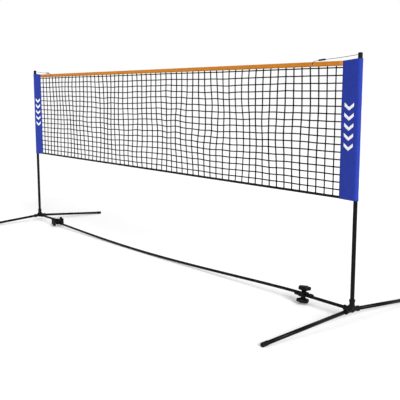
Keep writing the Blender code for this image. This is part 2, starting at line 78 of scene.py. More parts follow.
class NodeKit:
    """Short calls for building one material's node tree."""

    def __init__(self, name: str) -> None:
        """Start a material with a Principled shader."""
        self.material = bpy.data.materials.new(name)
        self.material.use_nodes = True
        self.tree = self.material.node_tree
        self.shader = self.tree.nodes["Principled BSDF"]

    def node(self, kind: str, **settings: object) -> bpy.types.Node:
        """Add a node and set its own properties."""
        made = self.tree.nodes.new(kind)
        for key, value in settings.items():
            setattr(made, key, value)
        return made

    def link(self, source: bpy.types.NodeSocket, target: bpy.types.NodeSocket) -> None:
        """Join two sockets."""
        self.tree.links.new(source, target)

    def coordinates(self, use_uv: bool = False,
                    scale: tuple[float, float, float] = (1.0, 1.0, 1.0)) -> bpy.types.NodeSocket:
        """Give scaled Object or UV coordinates.

        Args:
            use_uv: Read the piece's own UV map in place of its Object coordinates.
            scale: Scale on each axis.

        Returns:
            The mapped vector socket.
        """
        source = self.node("ShaderNodeTexCoord")
        mapping = self.node("ShaderNodeMapping")
        mapping.inputs["Scale"].default_value = scale
        self.link(source.outputs["UV" if use_uv else "Object"], mapping.inputs["Vector"])
        return mapping.outputs["Vector"]

    def noise(self, vector: bpy.types.NodeSocket, scale: float, detail: float = 4.0) -> bpy.types.NodeSocket:
        """Give a noise value over a vector."""
        made = self.node("ShaderNodeTexNoise")
        made.inputs["Scale"].default_value = scale
        made.inputs["Detail"].default_value = detail
        self.link(vector, made.inputs["Vector"])
        return made.outputs["Fac"]

    def ramp(self, value: bpy.types.NodeSocket, low: tuple, high: tuple,
             start: float = 0.3, end: float = 0.7) -> bpy.types.NodeSocket:
        """Turn a value into a colour between two ends."""
        made = self.node("ShaderNodeValToRGB")
        made.color_ramp.elements[0].position = start
        made.color_ramp.elements[0].color = low
        made.color_ramp.elements[1].position = end
        made.color_ramp.elements[1].color = high
        self.link(value, made.inputs["Fac"])
        return made.outputs["Color"]

    def span(self, value: bpy.types.NodeSocket, low: float, high: float) -> bpy.types.NodeSocket:
        """Map a 0 to 1 value to a span."""
        made = self.node("ShaderNodeMapRange")
        made.inputs["To Min"].default_value = low
        made.inputs["To Max"].default_value = high
        self.link(value, made.inputs["Value"])
        return made.outputs["Result"]

    def wave(self, vector: bpy.types.NodeSocket, axis: str, scale: float,
             distortion: float = 0.0) -> bpy.types.NodeSocket:
        """Give a sine band pattern across one axis."""
        made = self.node("ShaderNodeTexWave", wave_type="BANDS", bands_direction=axis)
        made.inputs["Scale"].default_value = scale
        made.inputs["Distortion"].default_value = distortion
        self.link(vector, made.inputs["Vector"])
        return made.outputs["Fac"]

    def math(self, kind: str, a: bpy.types.NodeSocket, b: bpy.types.NodeSocket | float) -> bpy.types.NodeSocket:
        """Join two values by a math operation."""
        made = self.node("ShaderNodeMath", operation=kind)
        self.link(a, made.inputs[0])
        if isinstance(b, float):
            made.inputs[1].default_value = b
        else:
            self.link(b, made.inputs[1])
        return made.outputs[0]

    def mix(self, first: bpy.types.NodeSocket, second: bpy.types.NodeSocket, share: float) -> bpy.types.NodeSocket:
        """Add two values, with a share of the first and the rest of the second."""
        return self.math("ADD", self.math("MULTIPLY", first, share), self.math("MULTIPLY", second, 1.0 - share))

    def tint(self, value: bpy.types.NodeSocket, colour: Colour, low: float, high: float,
             start: float = 0.3, end: float = 0.7) -> None:
        """Colour the shader by a value, from a low share of one colour to a high share of it."""
        self.link(self.ramp(value, shade(colour, low), shade(colour, high), start, end),
                  self.shader.inputs["Base Color"])

    def roughen(self, value: bpy.types.NodeSocket, low: float, high: float) -> None:
        """Spread the shader's roughness over a value."""
        self.link(self.span(value, low, high), self.shader.inputs["Roughness"])

    def fix(self, **sockets: object) -> None:
        """Set shader sockets that are the same all over, named with underscores for spaces."""
        for name, value in sockets.items():
            self.shader.inputs[name.replace("_", " ")].default_value = value

    def bump(self, height: bpy.types.NodeSocket, strength: float, distance: float) -> None:
        """Raise the shader's surface by a height value."""
        made = self.node("ShaderNodeBump")
        made.inputs["Strength"].default_value = strength
        made.inputs["Distance"].default_value = distance
        self.link(height, made.inputs["Height"])
        self.link(made.outputs["Normal"], self.shader.inputs["Normal"])


def shade(colour: Colour, share: float) -> tuple[float, float, float, float]:
    """Scale a colour and give it full alpha."""
    return (colour[0] * share, colour[1] * share, colour[2] * share, 1.0)


@dataclass(frozen=True)
class CoatedSteel:
    """Satin powder coat, with a faint orange-peel surface and patches of handling wear."""

    name: str
    colour: Colour
    roughness: float = 0.30
    specular: float = 0.07
    peel: float = 0.12

    def material(self) -> bpy.types.Material:
        """Build the material."""
        kit = NodeKit(self.name)
        place = kit.coordinates()
        patches = kit.noise(place, 9.0)
        kit.tint(patches, self.colour, 0.8, 1.6)
        kit.roughen(patches, self.roughness - 0.07, self.roughness + 0.12)
        kit.fix(Specular_IOR_Level=self.specular)
        kit.bump(kit.noise(place, 900.0, 2.0), self.peel, 0.0004)
        return kit.material


@dataclass(frozen=True)
class MouldedPlastic:
    """Injection-moulded plastic with a fine spark grain and slightly rubbed patches."""

    name: str
    colour: Colour
    roughness: float = 0.46
    grain: float = 0.35
    specular: float = 0.06

    def material(self) -> bpy.types.Material:
        """Build the material."""
        kit = NodeKit(self.name)
        place = kit.coordinates()
        rubbed = kit.noise(place, 38.0, 5.0)
        kit.tint(rubbed, self.colour, 0.75, 1.9)
        kit.roughen(rubbed, self.roughness - 0.10, self.roughness + 0.14)
        kit.fix(Specular_IOR_Level=self.specular)
        kit.bump(kit.noise(place, 1700.0, 3.0), self.grain, 0.0003)
        return kit.material


@dataclass(frozen=True)
class ZincSteel:
    """Bright zinc plate with faint drawn lines and clouding."""

    name: str
    colour: Colour = (0.42, 0.42, 0.43)

    def material(self) -> bpy.types.Material:
        """Build the material."""
        kit = NodeKit(self.name)
        place = kit.coordinates()
        cloud = kit.noise(place, 120.0)
        kit.tint(cloud, self.colour, 0.7, 1.2)
        kit.roughen(cloud, 0.24, 0.42)
        kit.fix(Metallic=1.0)
        lines = kit.coordinates(scale=(60.0, 900.0, 900.0))
        kit.bump(kit.noise(lines, 1.0, 2.0), 0.15, 0.0002)
        return kit.material


@dataclass(frozen=True)
class WovenCloth:
    """Plain-weave cloth: crossing threads, uneven dye and a soft sheen. UVs are in metres."""

    name: str
    colour: Colour
    threads_per_metre: float
    roughness: float = 0.72
    sheen: float = 0.35
    relief: float = 0.5
    thread_depth: float = 0.0004
    specular: float = 0.15

    def material(self) -> bpy.types.Material:
        """Build the material."""
        kit = NodeKit(self.name)
        place = kit.coordinates(use_uv=True)
        scale = self.threads_per_metre / WAVES_PER_UNIT
        warp = kit.wave(place, "X", scale)
        weft = kit.wave(place, "Y", scale)
        weave = kit.math("MAXIMUM", warp, weft)
        dye = kit.noise(place, 26.0, 6.0)
        kit.tint(kit.mix(weave, dye, 0.45), self.colour, 0.78, 1.2, 0.25, 0.8)
        kit.roughen(dye, self.roughness - 0.08, self.roughness + 0.1)
        kit.fix(Sheen_Weight=self.sheen, Sheen_Roughness=0.4, Specular_IOR_Level=self.specular)
        kit.bump(weave, self.relief, self.thread_depth)
        return kit.material


@dataclass(frozen=True)
class TwistedTwine:
    """Twisted or braided cord: slanted strands with a little fuzz."""

    name: str
    colour: Colour
    strands_per_metre: float = 500.0
    roughness: float = 0.8
    specular: float = 0.03

    def material(self) -> bpy.types.Material:
        """Build the material."""
        kit = NodeKit(self.name)
        place = kit.coordinates()
        strands = kit.wave(place, "DIAGONAL", self.strands_per_metre / WAVES_PER_UNIT, 1.2)
        fuzz = kit.noise(place, 420.0)
        kit.tint(kit.mix(strands, fuzz, 0.5), self.colour, 0.6, 1.8)
        kit.roughen(fuzz, self.roughness - 0.1, self.roughness + 0.1)
        kit.fix(Specular_IOR_Level=self.specular)
        kit.bump(strands, 0.5, 0.0004)
        return kit.material


@dataclass(frozen=True)
class ScreenInk:
    """Matt white print that lets the weave under it show."""

    name: str
    colour: Colour = (0.86, 0.87, 0.90)

    def material(self) -> bpy.types.Material:
        """Build the material."""
        kit = NodeKit(self.name)
        place = kit.coordinates()
        wear = kit.noise(place, 60.0, 6.0)
        kit.tint(wear, self.colour, 0.93, 1.05)
        kit.roughen(wear, 0.5, 0.7)
        kit.bump(kit.wave(place, "Z", 60.0), 0.2, 0.0002)
        return kit.material


class Finishes:
    """Every finish on the net, made once and shared."""

    def __init__(self) -> None:
        """Build the materials."""
        self.tube = CoatedSteel("black_powder_coat", (0.004, 0.004, 0.0045)).material()
        self.plastic = MouldedPlastic("black_moulded_plastic", (0.005, 0.005, 0.0055)).material()
        self.knob = MouldedPlastic("black_knob_plastic", (0.004, 0.004, 0.0045), 0.34, 0.2).material()
        self.steel = ZincSteel("zinc_plated_steel").material()
        self.sleeve = WovenCloth("royal_blue_polyester", (0.012, 0.031, 0.285), 900.0, 0.6, 0.05).material()
        self.sleeve_thread = TwistedTwine("blue_sewing_thread", (0.014, 0.034, 0.29), 2500.0).material()
        self.tape = WovenCloth("orange_tape_cloth", (0.52, 0.185, 0.012), 1100.0, 0.7, 0.04).material()
        self.tape_thread = TwistedTwine("orange_sewing_thread", (0.46, 0.17, 0.012), 2500.0).material()
        self.webbing = WovenCloth("black_webbing", (0.005, 0.005, 0.0055), 700.0, 0.8, 0.01, 0.7).material()
        self.twine = TwistedTwine("black_net_twine", (0.003, 0.003, 0.0035), 700.0).material()
        self.cord = TwistedTwine("dark_braided_cord", (0.010, 0.009, 0.008), 600.0).material()
        self.ink = ScreenInk("white_screen_ink").material()


# ---------------------------------------------------------------- building pieces


@dataclass
class Placed:
    """Where a new piece belongs: its CAD body, its material slot and the nodes it stands for."""

    body: str
    slot: str
    nodes: tuple[str, ...] = ()


def settle(name: str, bm: bmesh.types.BMesh, material: bpy.types.Material, placed: Placed,
           recalculate: bool = True) -> bpy.types.Object:
    """Turn a bmesh into a finished piece on its CAD body.

    Args:
        name: The piece's name.
        bm: The shape, in the CAD's frame.
        material: Its finish.
        placed: Its body and replaced nodes; its slot is not used.
        recalculate: Turn the faces outwards first.

    Returns:
        The new object.
    """
    if recalculate:
        bmesh.ops.recalc_face_normals(bm, faces=bm.faces)
    mesh = bpy.data.meshes.new(name)
    bm.to_mesh(mesh)
    bm.free()
    mesh.shade_smooth()
    mesh.set_sharp_from_angle(angle=SHARP_ANGLE)
    mesh.materials.append(material)
    piece = bpy.data.objects.new(name, mesh)
    bpy.context.scene.collection.objects.link(piece)
    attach(piece, placed.body)
    if placed.nodes:
        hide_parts(*placed.nodes)
    LOG.info("piece %s: %d faces", name, len(mesh.polygons))
    return piece


def bake_modifiers(piece: bpy.types.Object) -> None:
    """Apply a piece's modifiers to its own mesh, keeping its finish and smooth shading."""
    bpy.context.view_layer.update()
    depsgraph = bpy.context.evaluated_depsgraph_get()
    baked = bpy.data.meshes.new_from_object(piece.evaluated_get(depsgraph))
    old = piece.data
    piece.modifiers.clear()
    piece.data = baked
    baked.name = piece.name
    bpy.data.meshes.remove(old)


def thicken(piece: bpy.types.Object, thickness: float, offset: float = -1.0) -> None:
    """Give a piece's open sheet a wall, inwards unless the offset says otherwise."""
    shell = piece.modifiers.new("wall", "SOLIDIFY")
    shell.thickness = thickness
    shell.offset = offset
    bake_modifiers(piece)


def grow_row(bm: bmesh.types.BMesh, edges: list[bmesh.types.BMEdge]) -> tuple[list, list]:
    """Extrude a row of edges.

    Args:
        bm: The bmesh that grows.
        edges: Its last row.

    Returns:
        The new row's edges and its vertices.
    """
    grown = bmesh.ops.extrude_edge_only(bm, edges=edges)["geom"]
    return ([item for item in grown if isinstance(item, bmesh.types.BMEdge)],
            [item for item in grown if isinstance(item, bmesh.types.BMVert)])


def running_lengths(outline: list[tuple[float, float]]) -> list[float]:
    """Give the distance along an outline to each of its points."""
    lengths = [0.0]
    for before, after in zip(outline, outline[1:]):
        lengths.append(lengths[-1] + math.dist(before, after))
    return lengths


def curve_bmesh(routes: Iterable[list[Vector]], radius: float, resolution: int,
                capped: bool = True) -> bmesh.types.BMesh:
    """Sweep a round cord along routes.

    Args:
        routes: Lists of points, one for each strand.
        radius: The cord's radius.
        resolution: The curve's bevel resolution.
        capped: Close the ends.

    Returns:
        A bmesh with welded caps.
    """
    curve = bpy.data.curves.new("strands", "CURVE")
    curve.dimensions = "3D"
    curve.bevel_depth = radius
    curve.bevel_resolution = resolution
    curve.use_fill_caps = capped
    for route in routes:
        spline = curve.splines.new("POLY")
        spline.points.add(len(route) - 1)
        for target, point in zip(spline.points, route):
            target.co = (point.x, point.y, point.z, 1.0)
    holder = bpy.data.objects.new("strands", curve)
    bpy.context.scene.collection.objects.link(holder)
    depsgraph = bpy.context.evaluated_depsgraph_get()
    mesh = bpy.data.meshes.new_from_object(holder.evaluated_get(depsgraph))
    bpy.data.objects.remove(holder, do_unlink=True)
    bm = bmesh.new()
    bm.from_mesh(mesh)
    bpy.data.meshes.remove(mesh)
    bmesh.ops.remove_doubles(bm, verts=bm.verts, dist=WELD)
    return bm


def node_points(node: str) -> list[Vector]:
    """Give a CAD node's corner points."""
    return [vertex.co.copy() for vertex in frame["nodes"][node].data.vertices]


def merged_node(node: str) -> bmesh.types.BMesh:
    """Copy a CAD node's shape with its loose triangles merged."""
    bm = bmesh.new()
    bm.from_mesh(frame["nodes"][node].data)
    bmesh.ops.remove_doubles(bm, verts=bm.verts, dist=WELD)
    return bm


def tube_axis(node: str) -> tuple[Vector, Vector, float]:
    """Find the axis of a straight CAD tube that slopes in the YZ plane.

    Args:
        node: The tube's node, whose width along X is its diameter.

    Returns:
        The middles of its low-Y and high-Y ends, and its radius.
    """
    low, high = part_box(node)
    radius = (high.x - low.x) / 2.0
    size = high - low
    slope = 0.0
    for _ in range(SLOPE_ROUNDS):
        run = size.y - 2.0 * radius * math.sin(slope)
        rise = size.z - 2.0 * radius * math.cos(slope)
        slope = math.atan2(rise, run)
    centre = (low + high) / 2.0
    descends_outwards = -1.0 if centre.y > 0.0 else 1.0
    half = Vector((0.0, run / 2.0, descends_outwards * rise / 2.0))
    return centre - half, centre + half, radius


def ring_middles(node: str, gap: float) -> list[Vector]:
    """Give the middle of each ring of points along a CAD tube that runs along X."""
    points = sorted(node_points(node), key=lambda point: point.x)
    groups: list[list[Vector]] = [[points[0]]]
    for point in points[1:]:
        if point.x - groups[-1][-1].x > gap:
            groups.append([])
        groups[-1].append(point)
    return [sum(group, Vector()) / len(group) for group in groups]


def straight_tube(name: str, start: Vector, end: Vector, radius: float, wall: float,
                  material: bpy.types.Material, placed: Placed, segments: int = 40) -> bpy.types.Object:
    """Make a smooth hollow tube between two points."""
    along = end - start
    turn = along.to_track_quat("Z", "Y").to_matrix().to_4x4()
    bm = bmesh.new()
    place = Matrix.Translation((start + end) / 2.0) @ turn
    bmesh.ops.create_cone(bm, cap_ends=False, segments=segments, radius1=radius, radius2=radius,
                          depth=along.length, matrix=place)
    tube = settle(name, bm, material, placed)
    thicken(tube, wall)
    return tube


@dataclass
class MouldedCopies:
    """Plastic pieces refined from their CAD solids: rounded arrises and soft inner corners."""

    finishes: Finishes
    voxels: dict[str, float] = field(default_factory=lambda: {
        "base_connector": 0.0013, "foot_cap": 0.0010, "stub_cup": 0.0010, "bar_cup": 0.0010,
        "clamp_jaw_upper": 0.0010, "clamp_jaw_lower": 0.0010, "cord_lock": 0.0006,
    })

    def build(self) -> None:
        """Make a refined piece for each moulded node."""
        for node in sorted(frame["nodes"]):
            for family, voxel in self.voxels.items():
                if node.startswith(family):
                    self.refine(node, voxel)

    def refine(self, node: str, voxel: float) -> None:
        """Remesh one node finely and relax its edges."""
        body = SLIDING_BODY if node.startswith("cord_lock") else FIXED_BODY
        piece = settle("moulded_" + node, merged_node(node), self.finishes.plastic,
                       Placed(body, "black_plastic", (node,)), recalculate=False)
        remesh = piece.modifiers.new("even_faces", "REMESH")
        remesh.mode = "VOXEL"
        remesh.voxel_size = voxel
        relax = piece.modifiers.new("soft_edges", "SMOOTH")
        relax.factor = 0.5
        relax.iterations = 4
        bake_modifiers(piece)
        piece.data.shade_smooth()


@dataclass
class TubeWork:
    """The poles, feet, stubs and the bowed floor bar."""

    finishes: Finishes
    wall: float = 0.0012
    bar_radius: float = 0.010
    bar_resolution: int = 8
    stub_segments: int = 36
    ring_gap: float = 0.03
    smooth_steps: int = 6

    def build(self) -> None:
        """Make every tube."""
        for side in SIDES:
            for foot in ("front", "back"):
                node = f"foot_tube_{foot}_{side}"
                start, end, radius = tube_axis(node)
                straight_tube("coated_" + node, start, end, radius, self.wall, self.finishes.tube,
                              Placed(FIXED_BODY, "black_tube", (node,)))
            self.upright(f"lower_pole_{side}", FIXED_BODY)
            self.upright(f"upper_pole_{side}", SLIDING_BODY)
            self.stub(f"stub_tube_{side}")
        self.floor_bar()

    def upright(self, node: str, body: str) -> None:
        """Refine an upright tube in place, with its button holes."""
        settle("coated_" + node, merged_node(node), self.finishes.tube,
               Placed(body, "black_tube", (node,)), recalculate=False)

    def stub(self, node: str) -> None:
        """Make a stub tube along X."""
        low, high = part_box(node)
        middle = (low + high) / 2.0
        radius = (high.z - low.z) / 2.0
        straight_tube("coated_" + node, Vector((low.x, middle.y, middle.z)), Vector((high.x, middle.y, middle.z)),
                      radius, self.wall, self.finishes.tube, Placed(FIXED_BODY, "black_tube", (node,)),
                      self.stub_segments)

    def floor_bar(self) -> None:
        """Make the bar's curved sections, each a smooth tube through its CAD rings."""
        for node in sorted(name for name in frame["nodes"] if name.startswith("floor_bar_")):
            route = self.smooth_route(ring_middles(node, self.ring_gap))
            bm = curve_bmesh([route], self.bar_radius, self.bar_resolution, capped=False)
            section = settle("coated_" + node, bm, self.finishes.tube, Placed(FIXED_BODY, "black_tube", (node,)))
            thicken(section, self.wall)

    def smooth_route(self, knots: list[Vector]) -> list[Vector]:
        """Run a Catmull-Rom line through a list of points."""
        padded = [2.0 * knots[0] - knots[1], *knots, 2.0 * knots[-1] - knots[-2]]
        route: list[Vector] = []
        for before, start, end, after in zip(padded, padded[1:], padded[2:], padded[3:]):
            for step in range(self.smooth_steps):
                t = step / self.smooth_steps
                route.append(0.5 * (2.0 * start + (end - before) * t
                                    + (2.0 * before - 5.0 * start + 4.0 * end - after) * t * t
                                    + (3.0 * start - before - 3.0 * end + after) * t * t * t))
        route.append(knots[-1])
        return route


@dataclass
class StarKnobs:
    """Five-lobed star knobs, flared from a narrow neck, each on its hinge's own axis."""

    finishes: Finishes
    lobes: int = 5
    ring_points: int = 100
    bore_radius: float = 0.0031
    bore_depth: float = 0.0255

    def build(self) -> None:
        """Make a knob for each turning joint."""
        for joint in frame["joints"]:
            if joint["name"].startswith("knob_"):
                self.knob(joint)

    def knob(self, joint: dict) -> None:
        """Make one knob by growing a ring outwards along its axis."""
        node = "star_" + joint["name"].removesuffix("_turn")
        centre = Vector(joint["pos_m"])
        axis = Vector(joint["axis"]).normalized()
        heights = [(point - centre).dot(axis) for point in node_points(node)]
        base = min(heights)
        height = max(heights) - base
        place = Matrix.Translation(centre + axis * base) @ axis.to_track_quat("Z", "Y").to_matrix().to_4x4()
        bm = bmesh.new()
        bmesh.ops.create_circle(bm, cap_ends=True, segments=self.ring_points, radius=self.bore_radius)
        bmesh.ops.translate(bm, vec=(0.0, 0.0, self.bore_depth), verts=bm.verts)
        edges = list(bm.edges)
        for level, reach, lobe in self.levels(height):
            edges, ring = grow_row(bm, edges)
            for vertex in ring:
                angle = math.atan2(vertex.co.y, vertex.co.x)
                radius = reach + lobe * math.cos(self.lobes * angle)
                vertex.co = Vector((radius * math.cos(angle), radius * math.sin(angle), level))
        bmesh.ops.contextual_create(bm, geom=edges)
        bmesh.ops.transform(bm, matrix=place, verts=bm.verts)
        settle("lobed_" + node, bm, self.finishes.knob, Placed(joint["child"], "black_plastic", (node,)))

    def levels(self, height: float) -> list[tuple[float, float, float]]:
        """Give the (height, mean radius, lobe depth) of each ring, from the bore to the domed face."""
        return [
            (0.0, self.bore_radius, 0.0), (0.0, 0.0118, 0.0), (0.0006, 0.0127, 0.0), (0.0016, 0.0132, 0.0),
            (0.0042, 0.0143, 0.0), (0.0070, 0.0168, 0.0008), (0.0095, 0.0208, 0.0022),
            (0.0118, 0.0262, 0.0038), (0.0138, 0.0312, 0.0050), (0.0157, 0.0344, 0.0058),
            (0.0180, 0.0359, 0.0060), (0.0230, 0.0360, 0.0060), (0.0300, 0.0360, 0.0060),
            (0.0325, 0.0355, 0.0059), (0.0345, 0.0340, 0.0055), (0.0359, 0.0315, 0.0049),
            (height, 0.0280, 0.0040), (height, 0.0165, 0.0), (height - 0.0014, 0.0150, 0.0),
            (height - 0.0018, 0.0105, 0.0),
        ]


def cord_level(side: str) -> float:
    """Give the height of a tension cord's knot, which is the top of its CAD solid less the knot's radius."""
    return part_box("tension_cord_" + side)[1].z - CAD_KNOT_RADIUS


@dataclass
class PoleCaps:
    """Round caps on the pole tops, domed, with a moulded grip rib and the cord's exit."""

    finishes: Finishes
    steps: int = 56
    fit: float = 0.0003
    hollow: float = 0.0085
    roof: float = 0.006
    exit_radius: float = 0.0021
    exit_segments: int = 24

    def build(self) -> None:
        """Make a cap for each pole."""
        for side, sign in SIDES.items():
            self.cap(side, sign)

    def cap(self, side: str, sign: float) -> None:
        """Turn one cap and open the hole that its cord leaves by."""
        node = "pole_cap_" + side
        low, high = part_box(node)
        radius = (high.x - low.x) / 2.0
        height = high.z - low.z
        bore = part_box("upper_pole_" + side)
        inner = (bore[1].x - bore[0].x) / 2.0 + self.fit
        seat = bore[1].z + self.fit - low.z
        profile = [
            (0.0, height), (radius * 0.45, height - 0.0003), (radius * 0.74, height - 0.0012),
            (radius * 0.92, height - 0.0032), (radius * 0.985, height - 0.0060), (radius * 0.985, 0.0082),
            (radius, 0.0074), (radius, 0.0006), (radius - 0.0006, 0.0), (inner, 0.0), (inner, seat),
            (self.hollow, seat), (self.hollow, height - self.roof), (0.0, height - self.roof),
        ]
        bm = bmesh.new()
        points = [bm.verts.new((reach, 0.0, level)) for reach, level in profile]
        edges = [bm.edges.new(pair) for pair in zip(points, points[1:])]
        bmesh.ops.spin(bm, geom=points + edges, cent=(0.0, 0.0, 0.0), axis=(0.0, 0.0, 1.0),
                       angle=math.tau, steps=self.steps, use_merge=True)
        bmesh.ops.remove_doubles(bm, verts=bm.verts, dist=WELD)
        centre = (low + high) / 2.0
        bmesh.ops.translate(bm, vec=(centre.x, centre.y, low.z), verts=bm.verts)
        piece = settle("domed_" + node, bm, self.finishes.plastic, Placed(SLIDING_BODY, "black_plastic", (node,)))
        drill_bm = bmesh.new()
        middle = Vector((centre.x - sign * radius, 0.0, cord_level(side)))
        place = Matrix.Translation(middle) @ Matrix.Rotation(math.pi / 2.0, 4, "Y")
        bmesh.ops.create_cone(drill_bm, cap_ends=True, segments=self.exit_segments, radius1=self.exit_radius,
                              radius2=self.exit_radius, depth=radius * 1.1, matrix=place)
        drill_mesh = bpy.data.meshes.new("drill")
        drill_bm.to_mesh(drill_mesh)
        drill_bm.free()
        drill = bpy.data.objects.new("drill", drill_mesh)
        bpy.context.scene.collection.objects.link(drill)
        cut = piece.modifiers.new("cord_exit", "BOOLEAN")
        cut.object = drill
        cut.operation = "DIFFERENCE"
        bake_modifiers(piece)
        bpy.data.objects.remove(drill, do_unlink=True)


@dataclass
class TensionCords:
    """Braided cords from the pole caps to the tape, with their wire hooks."""

    finishes: Finishes
    radius: float = 0.0015
    resolution: int = 4
    knot_radius: float = 0.0040
    knot_inset: float = 0.002
    exit_reach: float = 0.016
    end_width: float = 0.0008
    points: int = 24
    sag: float = 0.002

    def build(self) -> None:
        """Make each cord, knot and hook."""
        for side, sign in SIDES.items():
            self.cord(side, sign)
            hook = settle("bent_cord_hook_" + side, merged_node("cord_hook_" + side), self.finishes.tube,
                          Placed(SLIDING_BODY, "black_tube", ("cord_hook_" + side,)), recalculate=False)
            rounder = hook.modifiers.new("rounder", "SUBSURF")
            rounder.levels = 1
            rounder.render_levels = 1
            bake_modifiers(hook)

    def cord(self, side: str, sign: float) -> None:
        """Run one cord from the knot inside its cap to its lock, with a slight sag."""
        node = "tension_cord_" + side
        points = node_points(node)
        inner = min(points, key=lambda point: point.x * sign).x
        ring = [point for point in points if abs(point.x - inner) < self.end_width]
        end = sum(ring, Vector()) / len(ring)
        cap_low, cap_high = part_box("pole_cap_" + side)
        start = Vector(((cap_low.x + cap_high.x) / 2.0 - sign * self.knot_inset, 0.0, cord_level(side)))
        straight = Vector((start.x - sign * self.exit_reach, 0.0, start.z))
        route = [start]
        for step in range(self.points):
            share = step / (self.points - 1)
            point = straight.lerp(end, share)
            point.z -= self.sag * math.sin(math.pi * share)
            route.append(point)
        bm = curve_bmesh([route], self.radius, self.resolution)
        bmesh.ops.create_icosphere(bm, subdivisions=3, radius=self.knot_radius, matrix=Matrix.Translation(start))
        settle("braided_" + node, bm, self.finishes.cord, Placed(SLIDING_BODY, "cord", (node,)))


# ---------------------------------------------------------------- cloth and netting


@dataclass
class Stitching:
    """A run of sewn stitches, each a small rounded dash lying on the cloth."""

    pitch: float
    length: float
    width: float

    def run(self, bm: bmesh.types.BMesh, start: Vector, end: Vector, lay: Callable[[Vector], Vector]) -> None:
        """Sew a line of stitches into a bmesh.

        Args:
            bm: The bmesh that takes them.
            start: Where the line starts on the flat cloth.
            end: Where it ends.
            lay: Puts a flat point onto the cloth's surface.
        """
        along = end - start
        count = int(along.length / self.pitch)
        turn = along.to_track_quat("X", "Y").to_matrix().to_4x4()
        shape = Matrix.Diagonal((self.length / 2.0, self.width / 2.0, self.width / 2.0, 1.0))
        for index in range(count):
            flat = start + along * ((index + 0.5) / count)
            place = Matrix.Translation(lay(flat)) @ turn @ shape
            bmesh.ops.create_icosphere(bm, subdivisions=1, radius=1.0, matrix=place)


